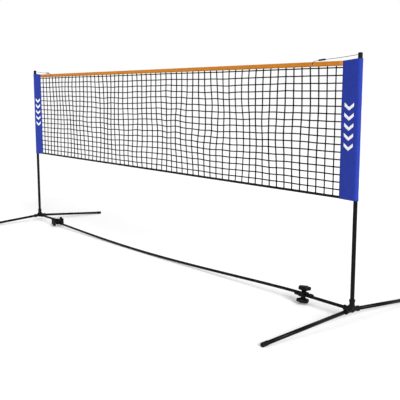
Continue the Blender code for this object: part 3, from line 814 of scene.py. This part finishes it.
@dataclass
class Sleeve:
    """A sewn cloth sleeve: a round pocket on the pole and a double flap out to the netting."""

    finishes: Finishes
    side: str
    sign: float
    cloth: float = 0.0010
    flap_start: float = 0.030
    flap_grow: float = 0.03
    flap_half: float = 0.0014
    pocket_inset: float = 0.0006
    slow_wave: float = 0.0030
    fine_wave: float = 0.0008
    pucker: float = 0.0006
    hem: float = 0.018
    hem_rise: float = 0.0005
    sewing_margin: float = 0.004
    sewing_gap: float = 0.008
    hem_sewing: float = 0.003
    thread_proud: float = 0.0002
    rows: int = 90
    arc_points: int = 30
    arc_slack: float = 0.0001
    flap_points: int = 14
    top_drop: float = 0.009
    drop_from: float = 0.9
    chevrons: int = 5
    chevron_pitch: float = 0.057
    chevron_top: float = 1.258
    chevron_middle: float = 0.060
    chevron_half_width: float = 0.037
    chevron_rise: float = 0.024
    chevron_stroke: float = 0.020
    ink_proud: float = 0.0003
    ink_film: float = 0.0002

    def __post_init__(self) -> None:
        """Read the sleeve's size from its CAD solid."""
        self.node = "pole_sleeve_" + self.side
        self.low, self.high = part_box(self.node)
        self.radius = (self.high.y - self.low.y) / 2.0 - self.pocket_inset
        self.axis_x = self.sign * (max(abs(self.low.x), abs(self.high.x)) - (self.high.y - self.low.y) / 2.0)
        self.reach = (self.high.x - self.low.x) - (self.high.y - self.low.y) / 2.0
        slant = math.atan2(self.flap_half, self.reach)
        self.leave = slant + math.acos(self.radius / math.hypot(self.reach, self.flap_half))

    def half_depth(self, reach: float) -> float:
        """Give how far each face of the flap stands from its middle plane, straight from pocket to edge."""
        start = self.radius * math.cos(self.leave)
        share = (reach - start) / (self.reach - start)
        return self.radius * math.sin(self.leave) * (1.0 - share) + self.flap_half * share

    def flap_wave(self, reach: float, z: float) -> float:
        """Give how far the flap stands out of its plane, by reach from the pole and height."""
        grow = min(max((reach - self.flap_start) / self.flap_grow, 0.0), 1.0)
        slow = noise.noise(Vector((reach * 9.0, z * 4.5, self.sign * 3.0)))
        fine = noise.noise(Vector((reach * 30.0, z * 16.0, self.sign * 7.0)))
        return grow * (self.slow_wave * slow + self.fine_wave * fine)

    def hem_lift(self, z: float) -> float:
        """Give the extra height of the folded hem near the top and bottom edges."""
        edge = min(z - self.low.z, self.high.z - z)
        return self.hem_rise if edge < self.hem else 0.0

    def top_fall(self, reach: float, share: float) -> float:
        """Give how far the top edge falls towards the net, by reach and share of the height."""
        return self.top_drop * reach * max(share - self.drop_from, 0.0) / 0.1

    def outline(self) -> list[tuple[float, float]]:
        """Give the cross-section as (reach towards the net, Y), from the front flap edge round to the back."""
        start = self.radius * math.cos(self.leave)
        front = []
        for index in range(self.flap_points):
            reach = self.reach + (start - self.reach) * index / self.flap_points
            front.append((reach, -self.half_depth(reach)))
        arc = []
        for index in range(self.arc_points + 1):
            angle = self.leave + (math.tau - 2.0 * self.leave) * index / self.arc_points
            arc.append((self.radius * math.cos(angle), -self.radius * math.sin(angle)))
        back = [(reach, -y) for reach, y in reversed(front)]
        return front + arc + back

    def build(self) -> None:
        """Make the sleeve, its stitching and its printed chevrons."""
        outline = self.outline()
        lengths = running_lengths(outline)
        bm = bmesh.new()
        uv = bm.loops.layers.uv.new("weave")
        row = [bm.verts.new((reach, y, 0.0)) for reach, y in outline]
        edges = [bm.edges.new(pair) for pair in zip(row, row[1:])]
        height = self.high.z - self.low.z
        step = height / self.rows
        for _ in range(self.rows):
            edges, moved = grow_row(bm, edges)
            bmesh.ops.translate(bm, vec=(0.0, 0.0, step), verts=moved)
        measured = {(round(reach, 6), round(y, 6)): length for (reach, y), length in zip(outline, lengths)}
        for face in bm.faces:
            for loop in face.loops:
                co = loop.vert.co
                loop[uv].uv = (measured[(round(co.x, 6), round(co.y, 6))], co.z)
        for vertex in bm.verts:
            vertex.co = self.drape(vertex.co)
        piece = settle("sewn_" + self.node, bm, self.finishes.sleeve,
                       Placed(SLIDING_BODY, "blue_fabric", (self.node,)))
        thicken(piece, self.cloth)
        threads = self.sew()
        print_piece = self.print_chevrons()

    def drape(self, flat: Vector) -> Vector:
        """Put a flat (reach, Y, height) point where the worn cloth has it."""
        reach, y = flat.x, flat.y
        z = self.low.z + flat.z
        share = (z - self.low.z) / (self.high.z - self.low.z)
        in_flap = min(max(reach / self.reach, 0.0), 1.0)
        in_arc = reach <= self.radius * math.cos(self.leave) + self.arc_slack
        outward = Vector((reach, y)).normalized() if in_arc else Vector((0.0, math.copysign(1.0, y)))
        pucker = self.pucker * noise.noise(Vector((math.atan2(y, reach) * 1.3, z * 22.0, self.sign)))
        lift = self.hem_lift(z) + (pucker if in_arc else 0.0)
        wave = self.flap_wave(reach, z)
        drop = self.top_fall(in_flap, share)
        return Vector((self.axis_x - self.sign * (reach + lift * outward.x), y + lift * outward.y + wave, z - drop))

    def on_face(self, face: Face, proud: float) -> Callable[[Vector], Vector]:
        """Give a function that lays a flat (reach, 0, z) point on one face of the flap."""
        def lay(flat: Vector) -> Vector:
            """Lay one point."""
            lift = self.half_depth(flat.x) + self.hem_lift(flat.z) + proud
            share = (flat.z - self.low.z) / (self.high.z - self.low.z)
            drop = self.top_fall(flat.x / self.reach, share)
            wave = self.flap_wave(flat.x, flat.z)
            return Vector((self.axis_x - self.sign * flat.x, face.value * lift + wave, flat.z - drop))
        return lay

    def sew(self) -> bpy.types.Object:
        """Sew two rows along the flap's edge and one along each hem, on each face."""
        bm = bmesh.new()
        stitch = Stitching(0.0048, 0.0034, 0.0007)
        bottom = self.low.z + self.sewing_margin
        top = self.high.z - self.sewing_margin
        inner = self.radius * math.cos(self.leave) + self.sewing_margin
        outer = self.reach - self.sewing_margin
        for face in Face:
            lay = self.on_face(face, self.thread_proud)
            for reach in (outer - self.sewing_gap, outer):
                stitch.run(bm, Vector((reach, 0.0, bottom)), Vector((reach, 0.0, top)), lay)
            for z in (self.low.z + self.hem - self.hem_sewing, self.high.z - self.hem + self.hem_sewing):
                stitch.run(bm, Vector((inner, 0.0, z)), Vector((outer, 0.0, z)), lay)
        return settle("stitching_" + self.node, bm, self.finishes.sleeve_thread,
                      Placed(SLIDING_BODY, "blue_fabric"), recalculate=False)

    def print_chevrons(self) -> bpy.types.Object:
        """Print a column of plain white chevrons on each face of the flap."""
        bm = bmesh.new()
        for face in Face:
            lay = self.on_face(face, self.ink_proud)
            for index in range(self.chevrons):
                peak = self.chevron_top - index * self.chevron_pitch
                for way in (-1.0, 1.0):
                    arm = bmesh.ops.create_grid(bm, x_segments=8, y_segments=4, size=0.5)["verts"]
                    for vertex in arm:
                        across = vertex.co.x + 0.5
                        stroke = vertex.co.y + 0.5
                        reach = self.chevron_middle + way * across * self.chevron_half_width
                        z = peak - self.chevron_rise * (1.0 - across) - stroke * self.chevron_stroke
                        vertex.co = lay(Vector((reach, 0.0, z)))
        bmesh.ops.remove_doubles(bm, verts=bm.verts, dist=0.00005)
        piece = settle("printed_chevrons_" + self.side, bm, self.finishes.ink, Placed(SLIDING_BODY, "blue_fabric"))
        thicken(piece, self.ink_film, 0.0)
        return piece


@dataclass
class Netting:
    """The knotted netting, with its top tape and bottom band."""

    finishes: Finishes
    uprights: int = 57
    rows: int = 17
    row_pitch: float = 0.0437
    first_gap: float = 0.050
    strand_radius: float = 0.0042
    strand_offset: float = 0.6
    knot_radius: float = 0.0056
    knot_squash: tuple[float, float, float, float] = (1.15, 0.85, 1.0, 1.0)
    steps: int = 3
    billow: float = 0.020
    drift: float = 0.008
    tape_steps: int = 160
    tape_wall: float = 0.0007
    tape_ripple: float = 0.0025
    headline_radius: float = 0.0028
    headline_points: int = 8
    tape_sewing_proud: float = 0.0018
    tape_sewing_inset: float = 0.003
    band_wall: float = 0.0009
    band_ripple: float = 0.003
    band_half: float = 0.0019
    eyelet_drop: float = 0.015
    eyelet_proud: float = 0.0022
    eyelet_steps: int = 28
    hook_wire: float = 0.0014

    def __post_init__(self) -> None:
        """Read the panel's size from the CAD solids."""
        self.tape_low, self.tape_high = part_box("top_tape")
        self.band_low, self.band_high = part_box("bottom_band")
        self.half_span = self.tape_high.x
        self.bottom = (self.band_low.z + self.band_high.z) / 2.0
        self.top = self.tape_low.z + 0.004

    def hang(self, x: float, z: float) -> Vector:
        """Give where a point of the flat panel hangs, with the net's slack gathered in its middle."""
        across = x / self.half_span
        up = (z - self.bottom) / (self.top - self.bottom)
        edge = (1.0 - across ** 4) * math.sin(math.pi * min(max(up, 0.0), 1.0)) ** 0.7
        folds = math.sin(7.3 * x + 2.1 * up) + 0.6 * math.sin(12.9 * x - 3.7 * up + 1.0)
        slow = noise.noise(Vector((x * 1.7, z * 2.3, 4.0)))
        y = self.billow * edge * (0.45 * folds + slow)
        sideways = self.drift * edge * (math.sin(5.1 * x + 6.0 * up) + noise.noise(Vector((x * 6.0, z * 7.0, 9.0))))
        sag = self.drift * edge * (math.sin(4.3 * x + 1.0) + noise.noise(Vector((x * 7.0, z * 6.0, 2.0))) - 0.7)
        return Vector((x + sideways, y, z + sag))

    def build(self) -> None:
        """Make the strands, knots, tape and band."""
        self.strands()
        self.tape()
        self.band()

    def strands(self) -> None:
        """Knot the mesh: upright and level strands through every crossing."""
        reach = self.half_span - self.first_gap
        xs = [-reach + 2.0 * reach * index / (self.uprights - 1) for index in range(self.uprights)]
        zs = [self.bottom + self.row_pitch * index for index in range(1, self.rows + 1)]
        levels = [self.bottom, *zs, self.top]
        places = [-self.half_span, *xs, self.half_span]
        aside = Vector((0.0, self.strand_radius * self.strand_offset, 0.0))
        routes = [self.strand([(x, z) for z in levels], aside) for x in xs]
        routes += [self.strand([(x, z) for x in places], -aside) for z in zs]
        mesh = settle("knotted_net_strands", curve_bmesh(routes, self.strand_radius, 1), self.finishes.twine,
                      Placed(SLIDING_BODY, "net_twine", ("net_mesh",)))
        mesh.data.shade_smooth()
        bm = bmesh.new()
        squashed = Matrix.Diagonal(self.knot_squash)
        for x in xs:
            for z in zs:
                place = Matrix.Translation(self.hang(x, z)) @ squashed
                bmesh.ops.create_icosphere(bm, subdivisions=1, radius=self.knot_radius, matrix=place)
        knots = settle("net_knots", bm, self.finishes.twine, Placed(SLIDING_BODY, "net_twine"), recalculate=False)
        knots.data.shade_smooth()

    def strand(self, stops: list[tuple[float, float]], offset: Vector) -> list[Vector]:
        """Run one strand through its crossings with a few steps in each cell."""
        route = []
        for (x0, z0), (x1, z1) in zip(stops, stops[1:]):
            for step in range(self.steps):
                share = step / self.steps
                route.append(self.hang(x0 + (x1 - x0) * share, z0 + (z1 - z0) * share) + offset)
        route.append(self.hang(*stops[-1]) + offset)
        return route

    def strip(self, name: str, outline: list[tuple[float, float]], low: Vector, high: Vector, ripple: float,
              material: bpy.types.Material, slot: str, node: str) -> bpy.types.Object:
        """Extrude a folded strip's outline along X and ripple it.

        Args:
            name: The piece's name.
            outline: The fold's (Y, Z) points.
            low: The CAD strip's low corner.
            high: The CAD strip's high corner.
            ripple: How far it strays out of its plane.
            material: Its finish.
            slot: Its material slot.
            node: The CAD node it stands for.

        Returns:
            The strip, as an open sheet one face thick.
        """
        bm = bmesh.new()
        uv = bm.loops.layers.uv.new("weave")
        measure = bm.verts.layers.float.new("measure")
        row = []
        for (y, z), length in zip(outline, running_lengths(outline)):
            vertex = bm.verts.new((low.x, y, z))
            vertex[measure] = length
            row.append(vertex)
        edges = [bm.edges.new(pair) for pair in zip(row, row[1:])]
        step = (high.x - low.x) / self.tape_steps
        for _ in range(self.tape_steps):
            edges, moved = grow_row(bm, edges)
            bmesh.ops.translate(bm, vec=(step, 0.0, 0.0), verts=moved)
        for face in bm.faces:
            for loop in face.loops:
                loop[uv].uv = (loop.vert.co.x, loop.vert[measure])
        for vertex in bm.verts:
            vertex.co.y += self.ripple(vertex.co.x, vertex.co.z, ripple)
        bm.verts.layers.float.remove(measure)
        return settle(name, bm, material, Placed(SLIDING_BODY, slot, (node,)))

    def ripple(self, x: float, z: float, amount: float) -> float:
        """Give a strip's stray out of its plane, none at its two ends."""
        ends = 1.0 - (x / self.half_span) ** 8
        return amount * ends * (noise.noise(Vector((x * 2.2, z * 9.0, 1.0))) + 0.4 * math.sin(9.0 * x))

    def tape(self) -> None:
        """Fold the tape over its headline cord and sew it, with an eyelet for each hook."""
        top = self.tape_high.z
        bottom = self.tape_low.z + 0.002
        cord = self.headline_radius
        outline = [(-0.0012, bottom), (-0.0013, bottom + 0.010), (-0.0014, top - 0.009), (-0.0019, top - 0.0065)]
        for index in range(self.headline_points + 1):
            angle = math.radians(200.0 - 220.0 * index / self.headline_points)
            outline.append((cord * math.cos(angle), top - cord + cord * math.sin(angle)))
        outline += [(-y, z) for y, z in reversed(outline[:4])]
        piece = self.strip("folded_top_tape", outline, self.tape_low, self.tape_high, self.tape_ripple,
                           self.finishes.tape, "orange_fabric", "top_tape")
        thicken(piece, self.tape_wall)
        threads = bmesh.new()
        stitch = Stitching(0.0075, 0.0050, 0.0008)
        for face in Face:
            for z in (bottom + 0.004, top - 0.0085):
                stitch.run(threads, Vector((self.tape_low.x + self.tape_sewing_inset, 0.0, z)),
                           Vector((self.tape_high.x - self.tape_sewing_inset, 0.0, z)), self.on_tape(face))
        sewn = settle("stitching_top_tape", threads, self.finishes.tape_thread,
                      Placed(SLIDING_BODY, "orange_fabric"), recalculate=False)
        eyelets = self.eyelets()

    def on_tape(self, face: Face) -> Callable[[Vector], Vector]:
        """Give a function that lays a flat (x, 0, z) point on one face of the tape."""
        def lay(flat: Vector) -> Vector:
            """Lay one point."""
            stray = self.ripple(flat.x, flat.z, self.tape_ripple)
            return flat + Vector((0.0, face.value * self.tape_sewing_proud + stray, 0.0))
        return lay

    def eyelets(self) -> bpy.types.Object:
        """Make the steel eyelet rings that the hooks go through, one on each face at each hook."""
        bm = bmesh.new()
        for side, sign in SIDES.items():
            low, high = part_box("cord_hook_" + side)
            x = low.x + self.hook_wire if sign > 0.0 else high.x - self.hook_wire
            z = self.tape_high.z - self.eyelet_drop
            for face in Face:
                y = face.value * self.eyelet_proud + self.ripple(x, z, self.tape_ripple)
                profile = [(0.0078, 0.0004), (0.0074, 0.0009), (0.0062, 0.0011), (0.0050, 0.0009), (0.0046, 0.0)]
                ring = [bm.verts.new((x + reach, y + face.value * lift, z)) for reach, lift in profile]
                loop = [bm.edges.new(pair) for pair in zip(ring, ring[1:] + ring[:1])]
                bmesh.ops.spin(bm, geom=ring + loop, cent=(x, y, z), axis=(0.0, 1.0, 0.0),
                               angle=math.tau, steps=self.eyelet_steps, use_merge=True)
        return settle("tape_eyelets", bm, self.finishes.steel, Placed(SLIDING_BODY, "bare_steel"))

    def band(self) -> None:
        """Fold the black band round the net's lower edge."""
        low, high = self.band_low, self.band_high
        half = self.band_half
        outline = [(-half, high.z), (-half, low.z + 0.0022), (-0.0013, low.z + 0.0007), (0.0, low.z + 0.0002)]
        outline += [(-y, z) for y, z in reversed(outline[:3])]
        piece = self.strip("folded_bottom_band", outline, low, high, self.band_ripple, self.finishes.webbing,
                           "black_webbing", "bottom_band")
        thicken(piece, self.band_wall)


# ---------------------------------------------------------------- kept CAD nodes and the stage


@dataclass
class KeptNodes:
    """CAD nodes whose shape is right as it is: studs, spigots, buttons, springs and bushes."""

    finishes: Finishes

    def build(self) -> None:
        """Give each kept node its finish."""
        kinds = {"clamp_stud": self.finishes.steel, "bar_spigot": self.finishes.steel,
                 "snap_button": self.finishes.steel, "button_spring": self.finishes.steel,
                 "pole_bush": self.finishes.plastic}
        for name, node in frame["nodes"].items():
            for kind, material in kinds.items():
                if name.startswith(kind):
                    node.data.materials.clear()
                    node.data.materials.append(material)
                    LOG.info("kept node %s", name)


@dataclass
class Studio:
    """A pale floor, soft lights and the camera."""

    camera_place: tuple[float, float, float] = (4.6005, -3.1462, 1.3125)
    camera_pitch: float = 81.33
    camera_heading: float = 51.66
    lens: float = 63.2
    sun_from: tuple[float, float, float] = (8.5, -2.4, 4.4)
    sun_strength: float = 3.8
    sun_spread: float = 32.0
    sky_strength: float = 0.45
    lamp_power: float = 60.0
    lamp_target: tuple[float, float, float] = (0.0, 0.0, 0.6)
    floor_size: float = 40.0

    def build(self) -> None:
        """Make the stage, the lights and the camera."""
        self.floor()
        self.world()
        self.sun()
        self.light("fill_light", (-1.0, -6.0, 4.0), 2.0)
        self.light("back_light", (1.0, 6.0, 4.0), 3.0)
        data = bpy.data.cameras.new("studio_camera")
        data.lens = self.lens
        camera = bpy.data.objects.new("studio_camera", data)
        camera.location = self.camera_place
        camera.rotation_euler = (math.radians(self.camera_pitch), 0.0, math.radians(self.camera_heading))
        bpy.context.scene.collection.objects.link(camera)
        bpy.context.scene.camera = camera

    def floor(self) -> None:
        """Lay a plain pale floor."""
        bm = bmesh.new()
        bmesh.ops.create_grid(bm, x_segments=1, y_segments=1, size=self.floor_size / 2.0)
        mesh = bpy.data.meshes.new("studio_floor")
        bm.to_mesh(mesh)
        bm.free()
        kit = NodeKit("pale_floor")
        tone = kit.noise(kit.coordinates(), 1.2)
        kit.tint(tone, WHITE[:3], 0.95, 0.98)
        kit.fix(Roughness=0.95, Specular_IOR_Level=0.0, Emission_Color=WHITE, Emission_Strength=0.06)
        mesh.materials.append(kit.material)
        floor = bpy.data.objects.new("studio_floor", mesh)
        bpy.context.scene.collection.objects.link(floor)

    def world(self) -> None:
        """Light the scene softly from all round, in front of a white backdrop."""
        world = bpy.data.worlds.new("studio_world")
        world.use_nodes = True
        tree = world.node_tree
        sky = tree.nodes["Background"]
        sky.inputs["Color"].default_value = WHITE
        sky.inputs["Strength"].default_value = self.sky_strength
        backdrop = tree.nodes.new("ShaderNodeBackground")
        path = tree.nodes.new("ShaderNodeLightPath")
        mixed = tree.nodes.new("ShaderNodeMixShader")
        tree.links.new(path.outputs["Is Camera Ray"], mixed.inputs["Fac"])
        tree.links.new(sky.outputs["Background"], mixed.inputs[1])
        tree.links.new(backdrop.outputs["Background"], mixed.inputs[2])
        backdrop.inputs["Color"].default_value = WHITE
        tree.links.new(mixed.outputs["Shader"], tree.nodes["World Output"].inputs["Surface"])
        bpy.context.scene.world = world
        bpy.context.scene.view_settings.view_transform = "Standard"

    def sun(self) -> None:
        """Add a broad soft key light."""
        data = bpy.data.lights.new("key_sun", "SUN")
        data.energy = self.sun_strength
        data.angle = math.radians(self.sun_spread)
        lamp = bpy.data.objects.new("key_sun", data)
        lamp.rotation_euler = Vector(self.sun_from).to_track_quat("Z", "Y").to_euler()
        bpy.context.scene.collection.objects.link(lamp)

    def light(self, name: str, place: tuple[float, float, float], size: float) -> None:
        """Add one soft light aimed at the net's middle."""
        data = bpy.data.lights.new(name, "AREA")
        data.size = size
        data.energy = self.lamp_power
        lamp = bpy.data.objects.new(name, data)
        lamp.location = place
        lamp.rotation_euler = (Vector(self.lamp_target) - Vector(place)).to_track_quat("-Z", "Y").to_euler()
        bpy.context.scene.collection.objects.link(lamp)


def main() -> None:
    """Build every sub-assembly in order."""
    logging.basicConfig(level=logging.INFO, format="%(message)s")
    Studio().build()
    finishes = Finishes()
    TubeWork(finishes).build()
    MouldedCopies(finishes).build()
    StarKnobs(finishes).build()
    PoleCaps(finishes).build()
    TensionCords(finishes).build()
    for side, sign in SIDES.items():
        Sleeve(finishes, side, sign).build()
    Netting(finishes).build()
    KeptNodes(finishes).build()


if __name__ == "__main__":
    main()
